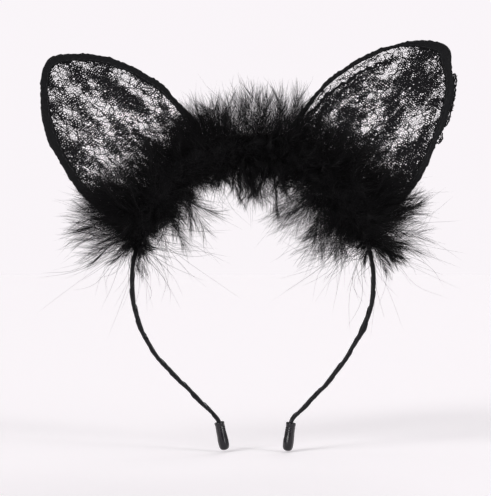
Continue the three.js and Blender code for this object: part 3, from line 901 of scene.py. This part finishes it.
def make_overhang(ear):
    """The right ear's lace left standing past the binding, with its own corded edge."""
    u, v = ear.local(ear.wire.points).T
    outer_side = ear.wire.run[(u < 0) & (v > 50) & (v < 92)]
    distance = np.linspace(outer_side.min(), outer_side.max(), 330)

    def reach_at(distance):
        height = ear.wire_uv(distance)[:, 1]
        main = smooth(*OVERHANG_TOP, height) * smooth(*OVERHANG_FOOT, height)
        wavy = 0.98 + 0.36 * ripple(2.4, 91, distance) + 0.10 * np.sin(distance * 2.6)
        return OVERHANG * (main + bump_at(height, TAG_AT, 2.6)) * wavy

    def keep(uv):
        flat = ear.world(uv)
        along, _ = ear.wire.nearest(flat)
        inside, reach = ear.inside(flat), reach_at(along)
        slit = (ripple(2.1, 97, along) > 0) & (inside > -0.95) & (inside < 0.0)
        return (inside > -reach) & (inside < 0.7) & (reach > 0.5) & (uv[:, 0] < 0) & ~slit

    parts = [net(ear, keep, lambda uv: 0.86 + 0.28 * ripple(1.2, 92, *uv.T), 0.0, 0.3, 93)[:2]]
    reach = reach_at(distance)
    good = reach > 0.45
    breaks = np.flatnonzero(np.diff(good.astype(int))) + 1
    for inset, y, wide in ((0.0, -0.06, 0.40), (0.8, 0.10, 0.24)):
        line = lift(ear.edge(distance, -np.maximum(reach - inset, 0.0)), y)
        for part in np.split(np.arange(len(distance)), breaks):
            if good[part[0]] and len(part) > 6:
                radius = wide * (1 + 0.4 * ripple(0.7, 98, distance[part]))
                parts.append(tubes(line[part][None], radius, 7))
    points, faces = joined(parts)
    make("lace_overhang_right", points, faces, LACE, ear.body, smooth_faces=False)


def make_inner_fold(ear):
    """A narrow second fold inside the right ear's binding, which fades out towards the tip."""
    u, v = ear.local(ear.wire.points).T
    inner_side = ear.wire.run[(u > 0) & (v > 8) & (v < 80)]
    distance = np.linspace(inner_side.min(), inner_side.max(), 260)
    height = ear.wire_uv(distance)[:, 1]
    width = (0.67 + 0.5 * ripple(1.5, 95, distance)) * (1 - 0.7 * smooth(60, 80, height))
    inward = fold_inset(height) + ripple(3.2, 96, distance) * 1.3 + ripple(1.1, 99, distance) * 0.5
    points, faces = joined(
        tubes(lift(ear.edge(distance, inward), y)[None], width, flat=0.6) for y in (-0.36, 0.36)
    )
    make("inner_fold_right", points, faces, BORDER, ear.body)


# ---------------------------------------------------------------- thread and cord
def make_winding(name, node):
    """Thread wound round what a CAD binding holds: a close coil that fills its length."""
    along, outward, y = node_on_hoop(node)
    length = along.max() - along.min()
    turns = max(3, int(length / THREAD_PITCH))
    t = np.linspace(0, 1, turns * 30)
    angle = t * turns * TURN
    rng = np.random.default_rng(SEED + int(abs(along.mean()) * 10))
    wander, swell = (
        np.interp(t, np.linspace(0, 1, turns * k), rng.uniform(-most, most, turns * k))
        for k, most in ((2, 0.11), (3, 0.1))
    )
    distance = along.min() + THREAD_RADIUS + (length - 2 * THREAD_RADIUS) * t + wander
    mid_out, half_out = middle_and_half(outward)
    mid_y, half_y = middle_and_half(y)
    out = mid_out + squared(np.cos(angle), WINDING_SQUARENESS) * (half_out - THREAD_RADIUS + swell)
    point, _, way = on_hoop(distance)
    y = mid_y + squared(np.sin(angle), WINDING_SQUARENESS) * (half_y - THREAD_RADIUS + swell)
    line = lift(point + way * out[:, None], y)
    # The loose end leaves the last turn and lies along the hoop.
    s = np.linspace(0, 1, 12)
    fall = np.array([0.4, -0.5, 0.7]) * (s**2)[:, None] * 2.2
    tail = line[-1] + (line[-1] - line[-2]) * 6 * s[:, None] + fall
    radius = np.linspace(THREAD_RADIUS * 0.85, THREAD_RADIUS * 0.4, 12)
    points, faces = joined([tubes(line[None], THREAD_RADIUS, 7), tubes(tail[None], radius, 7)])
    make(name, points, faces, THREAD, "crown", [node])


def make_core_cord():
    """Three yarns twisted into the cord that holds the down."""
    along, _, y = node_on_hoop("marabou_core_cord")
    middle, radius = middle_and_half(y)
    distance = np.linspace(along.min(), along.max(), 420)
    point, _, outward = on_hoop(distance)
    parts = []
    for ply in range(3):
        angle = (distance / CORD_TWIST + ply / 3) * TURN
        flat = point + outward * (np.cos(angle) * radius * 0.52)[:, None]
        line = lift(flat, middle + np.sin(angle) * radius * 0.52)
        parts.append(tubes(line[None], radius * 0.48, 9))
    points, faces = joined(parts)
    make("core_cord", points, faces, CORD, "crown", ["marabou_core_cord"])


# ---------------------------------------------------------------- marabou
def soft_limit(lines):
    """Draws in what would stand too far in front or behind."""
    y = lines[:, :, 1]
    front, back = FRONT_LIMIT + 8, BACK_LIMIT - 6
    y = np.where(y < front, front - 8 * np.tanh((front - y) / 8), y)
    lines[:, :, 1] = np.where(y > back, back + 6 * np.tanh((y - back) / 6), y)
    return lines


def reach_of(distance, out_part, rng):
    """How far down stands from its cord: most outwards, and less past the outer ties."""
    place = np.abs(distance)
    outwards = 29.0 + 7.0 * bump_at(distance, 0, 17) + 7.0 * bump_at(place, 59, 7)
    outwards = outwards + 3.0 * bump_at(distance, 72, 6)
    inwards = 22.5
    for middle, wide, more in ((0, 12, 5.5), (38, 12, 6.0), (-42, 13, -4.0), (-68, 10, -11.0),
                               (69, 9, -7.0), (-20, 9, -4.0), (18, 9, -4.0)):
        inwards = inwards + more * bump_at(distance, middle, wide)
    mean = np.where(out_part > 0, outwards * out_part, -inwards * out_part)
    mean = (mean + 17.0 * (1 - np.abs(out_part))) * (1 - 0.42 * smooth(68, 80, place))
    return mean * rng.uniform(0.84, 1.12, len(distance))


def directions(distance, rng, lean):
    """Random directions square to the cord, leaning along it, and out past its ends."""
    _, tangent, outward = on_hoop(distance)
    angle = rng.uniform(0, TURN, len(distance))
    out_part, front_part = np.cos(angle), np.sin(angle)
    front_part = np.where(front_part < 0, front_part * 0.62, front_part)
    along = rng.normal(0, lean, len(distance))
    end = smooth(62, DOWN_END, np.abs(distance)) * np.sign(distance)
    along = along + end * rng.uniform(-0.2, 0.5, len(distance))
    flat = outward * out_part[:, None] + tangent * along[:, None]
    return unit(lift(flat, -front_part)), out_part


def plumes_all_round(number, rng):
    """Feathers all round the cord: where each starts, its direction and its reach."""
    distance = np.sort(rng.uniform(-DOWN_END, DOWN_END, number))
    ends = [rng.uniform(low, high, number // 9) for low, high in ((-72, -52), (52, 72))]
    distance = np.concatenate([distance, *ends])
    way, out_part = directions(distance, rng, 0.42)
    return distance, way, reach_of(distance, out_part, rng)


def plumes_in_sprays(rng):
    """Looser groups of longer feathers that fan out together past the rest."""
    found = []
    for middle, spread, turn, fan, number, reach in SPRAYS:
        distance = middle + rng.uniform(-spread, spread, number)
        _, tangent, outward = on_hoop(distance)
        angle = np.radians(turn + rng.uniform(-fan, fan, number))[:, None]
        flat = outward * np.cos(angle) + tangent * np.sin(angle)
        way = unit(lift(flat, rng.uniform(-0.42, 0.12, number)))
        found.append((distance, way, reach * rng.uniform(0.8, 1.08, number)))
    return tuple(np.concatenate(part) for part in zip(*found))


def barbs_of(distance, way, reach, per_plume, rng):
    """Barbs leave their quill on both sides, curve towards its tip and cling in tufts."""
    point, _, _ = on_hoop(distance)
    root = lift(point, CORD_Y) + way * 0.8
    bend = unit(rng.normal(size=way.shape)) * 0.6
    bend[:, 2] -= 0.1
    turned = (unit(way + bend) - way)[:, None]
    normal = unit(np.cross(way, rng.normal(size=way.shape)))
    count = len(distance)
    t = np.linspace(0.04, 1, per_plume)[None] + rng.uniform(-0.02, 0.02, (count, per_plume))
    t = np.clip(t, 0.02, 1)
    along = t[..., None] * way[:, None] + 0.5 * t[..., None] ** 2 * turned
    start = root[:, None] + (reach * QUILL)[:, None, None] * along
    heading = unit(way[:, None] + t[..., None] * turned)
    side = unit(np.cross(heading, np.broadcast_to(normal[:, None], heading.shape)))
    length = reach[:, None] * (0.60 - 0.26 * t) * rng.uniform(0.6, 1.15, t.shape)
    first = np.radians(rng.uniform(*BARB_SPLAY, t.shape)) * (1 - 0.55 * t)
    curl = rng.uniform(-0.2, 0.95, t.shape)[..., None]
    lift_off = rng.normal(0, 0.3, t.shape)[..., None]
    steps = BARB_STEPS
    u = (np.arange(steps - 1) + 0.5) / (steps - 1)
    hand = np.where(np.arange(per_plume) % 2, 1, -1)[None, :, None]
    angle = first[..., None] * (1 - curl * u) * hand
    speed, phase = (rng.uniform(low, high, t.shape)[..., None] for low, high in ((2, 7), (0, 6.3)))
    angle = (angle + 0.14 * np.sin(u * speed + phase))[..., None]
    rise = lift_off * (0.4 + 0.6 * u) + 0.15 * np.sin(u * 5 + t[..., None] * 9)
    step_way = np.cos(angle) * heading[:, :, None] + np.sin(angle) * side[:, :, None]
    step_way = step_way + rise[..., None] * normal[:, None, None]
    step_way = unit(step_way) * (length / (steps - 1))[..., None, None]
    start = start[:, :, None]
    lines = np.concatenate([start, start + np.cumsum(step_way, 2)], 2)
    # Neighbouring barbs on the same side cling together at their ends.
    whole = per_plume // (2 * TUFT) * 2 * TUFT
    cling = lines[:, :whole].reshape(count, -1, TUFT, 2, steps, 3)
    tip = cling[:, :, :, :, -1:].mean(2, keepdims=True)
    hold = rng.uniform(*CLING, cling.shape[:2])[:, :, None, None, None, None]
    cling += (tip - cling[:, :, :, :, -1:]) * hold * np.linspace(0, 1, steps)[:, None] ** 1.4
    lines[:, :whole] = cling.reshape(count, whole, steps, 3)
    return soft_limit(lines.reshape(-1, steps, 3)), np.repeat(distance, per_plume)


def curved(start, way, length, steps, bends, sine):
    """Fibres of these lengths that start out straight, with a steady bend and a slight wave."""
    u = np.linspace(0, 1, steps)[None, :, None]
    steady, wave = (bend[:, None] for bend in bends)
    course = way[:, None] * u + steady * u**2 + wave * np.sin(u * sine)
    return start[:, None] + length[:, None, None] * course


def fluff_of(number, rng):
    """Short curled down that fills the trim round its cord."""
    distance = rng.uniform(-DOWN_END, DOWN_END, number)
    way, out_part = directions(distance, rng, 0.55)
    reach = reach_of(distance, out_part, rng)
    start = lift(on_hoop(distance)[0], CORD_Y)
    start += way * (reach * rng.uniform(0.03, 0.5, number))[:, None]
    heading = unit(way + rng.normal(0, 0.4, way.shape))
    length = reach * rng.uniform(0.3, 0.55, number)
    bends = [rng.normal(0, most, way.shape) for most in (0.34, 0.07)]
    return soft_limit(curved(start, heading, length, FLUFF_STEPS, bends, 6.3)), distance


def wisps_of(number, rng):
    """Single long barbs that stand out past the rest, most of them at the two ends."""
    ends = int(number * 0.55)
    at_ends = rng.uniform(60, DOWN_END + 2, ends) * np.where(rng.uniform(size=ends) < 0.5, -1, 1)
    distance = np.concatenate([at_ends, rng.uniform(-60, 60, number - ends)])
    way, out_part = directions(distance, rng, 0.5)
    way = unit(way * (1, 0.45, 1))
    far = smooth(56, 74, np.abs(distance))
    length = rng.uniform(25, 33, number) + far * rng.uniform(0, 11, number)
    length = length * np.where(out_part > 0, 1, 0.93)
    start = lift(on_hoop(distance)[0], CORD_Y)
    bends = [rng.uniform(-most, most, way.shape) for most in (0.5, 0.09)]
    bends[0][:, 1] *= 0.5
    lines = curved(start, way, length, WISP_STEPS, bends, 7)
    lines[:, :, 2] -= 2.5 * np.linspace(0, 1, WISP_STEPS) ** 2
    return soft_limit(lines), distance


def make_underdown():
    """The matted down close to the cord, behind the loose barbs."""
    rows, around = 330, 44
    distance = np.linspace(-DOWN_END + 2, DOWN_END - 2, rows)[:, None]
    angle = np.arange(around) / around * TURN
    c, s = np.cos(angle), np.sin(angle)
    rough = sum(
        ripple(size, number, distance, c * 7, s * 7) * most
        for size, number, most in ((5.0, 101, 2.8), (1.9, 102, 1.8))
    )
    ends = np.sqrt(np.clip(1 - (np.abs(distance) / (DOWN_END - 1.9)) ** 8, 0, 1))
    out = c * (np.where(c > 0, 8.6, 6.2) + rough) * ends
    y = np.minimum(CORD_Y - 1.2 - s * (5.2 + rough * 0.7) * ends, -2.9)
    point, _, outward = on_hoop(distance)
    make("underdown", lift(point + outward * out[..., None], y), [skin(rows, around)], DOWN,
         "crown", gap=0.001)


def make_down():
    """The loose down, in five stretches: plumes, sprays with single wisps, and fluff."""
    rng = np.random.default_rng(SEED + 110)
    plumes = barbs_of(*plumes_all_round(PLUMES, rng), PLUME_BARBS, rng)
    sprays = barbs_of(*plumes_in_sprays(rng), SPRAY_BARBS, rng)
    fluff = fluff_of(FLUFF, rng)
    wisps = wisps_of(WISPS, rng)
    # For each piece, its fibres with their least and greatest radius, and that of their tips.
    kinds = (
        ("plumes", ((plumes, 0.065, 0.115, 0.012),)),
        ("sprays", ((sprays, 0.045, 0.08, 0.01), (wisps, 0.075, 0.12, 0.016))),
        ("fluff", ((fluff, 0.06, 0.1, 0.012),)),
    )
    for zone, low, high in ZONES:
        for kind, sets in kinds:
            parts = []
            for (lines, at), thin, thick, tip in sets:
                lines = lines[(at >= low) & (at < high)]
                parts.append(strands(lines, rng.uniform(thin, thick, len(lines)), tip))
            points, faces = joined(parts)
            make(f"{kind}_{zone}", points, faces, DOWN, "crown",
                 [f"down_{zone}"])


# ---------------------------------------------------------------- building the object
METALS = {
    "hoop_strip_crown": STEEL, "hoop_strip_arm_left": STEEL, "hoop_strip_arm_right": STEEL,
    "ear_wire_left": WIRE, "ear_wire_right": WIRE,
}
for node, material in METALS.items():
    data = frame["nodes"][node].data
    data.materials.clear()
    data.materials.append(material)

for side in SIGN:
    make_ribbon(side)
    make_cap(side)
    ear = Ear(side)
    make_border(ear)
    make_stitches(ear)
    for layer in LACE_LAYERS:
        make_lace(ear, *layer)
    make_hem(ear)
    if side == "right":
        make_overhang(ear)
        make_inner_fold(ear)
    for foot in ("outer", "inner"):
        make_winding(f"winding_{side}_{foot}", f"foot_binding_{side}_{foot}")
    for place in ("centre", "outer"):
        make_winding(f"tie_{side}_{place}", f"trim_tie_{side}_{place}")

make_core_cord()
make_underdown()
make_down()


# ---------------------------------------------------------------- floor, light and camera
def sun(name, towards, strength, width):
    """A soft light so far away that it lights the whole floor evenly."""
    data = bpy.data.lights.new(name, "SUN")
    data.energy = strength
    data.angle = math.radians(width)
    lamp = bpy.data.objects.new(name, data)
    bpy.context.scene.collection.objects.link(lamp)
    lamp.rotation_mode = "QUATERNION"
    lamp.rotation_quaternion = Vector(towards).to_track_quat("Z", "Y")


sun("key", (-0.55, -0.75, 0.80), 0.8, 34)
sun("fill", (0.85, -0.55, 0.55), 0.4, 60)
sun("back", (0.30, 0.85, 0.60), 0.6, 40)
# Two tall strips, each of lights one above the other, for highlights on the caps and ribbon.
for name, around, strength in (("left", -40, 0.42), ("right", 54, 0.30)):
    for height in (-6, 6, 18, 30):
        turn, rise = math.radians(around), math.radians(height)
        level = math.cos(rise)
        towards = (math.sin(turn) * level, -math.cos(turn) * level, math.sin(rise))
        sun(f"strip_{name}_{height}", towards, strength, 14)

paper = bpy.data.materials.new("pale_floor")
paper.use_nodes = True
set_sockets(paper.node_tree.nodes["Principled BSDF"], Base_Color=FLOOR_COLOUR, Roughness=0.9,
            Specular_IOR_Level=0.1, Emission_Color=BACKDROP, Emission_Strength=FLOOR_GLOW)
floor_z = cad_box[0].z / MM - FLOOR_BELOW
floor_points = [(x * FLOOR_HALF, y * FLOOR_HALF, floor_z)
                for x, y in ((-1, -1), (1, -1), (1, 1), (-1, 1))]
make("floor", floor_points, [[(0, 1, 2, 3)]], paper, None)

world = bpy.data.worlds.new("studio")
bpy.context.scene.world = world
world.use_nodes = True
tree = world.node_tree
seen = tree.nodes["Background"]
set_sockets(seen, Color=BACKDROP, Strength=1.0)
lit = add_node(tree, "Background", Color=(1.0, 0.985, 1.0, 1), Strength=0.3)
which = add_node(tree, "LightPath")
mix = add_node(tree, "MixShader")
tree.links.new(which.outputs["Is Camera Ray"], mix.inputs["Fac"])
tree.links.new(lit.outputs["Background"], mix.inputs[1])
tree.links.new(seen.outputs["Background"], mix.inputs[2])
tree.links.new(mix.outputs["Shader"], tree.nodes["World Output"].inputs["Surface"])

bpy.context.scene.view_settings.view_transform = "Standard"

camera_data = bpy.data.cameras.new("camera")
camera_data.sensor_width = SENSOR
camera_data.lens = SENSOR * CAMERA_DISTANCE / FRAME_HEIGHT
camera_data.clip_end = 20
camera = bpy.data.objects.new("camera", camera_data)
bpy.context.scene.collection.objects.link(camera)
camera.location = (AIM_X * MM, -CAMERA_DISTANCE * MM, AIM_Z * MM)
camera.rotation_euler = (math.pi / 2, 0, 0)
bpy.context.scene.camera = camera
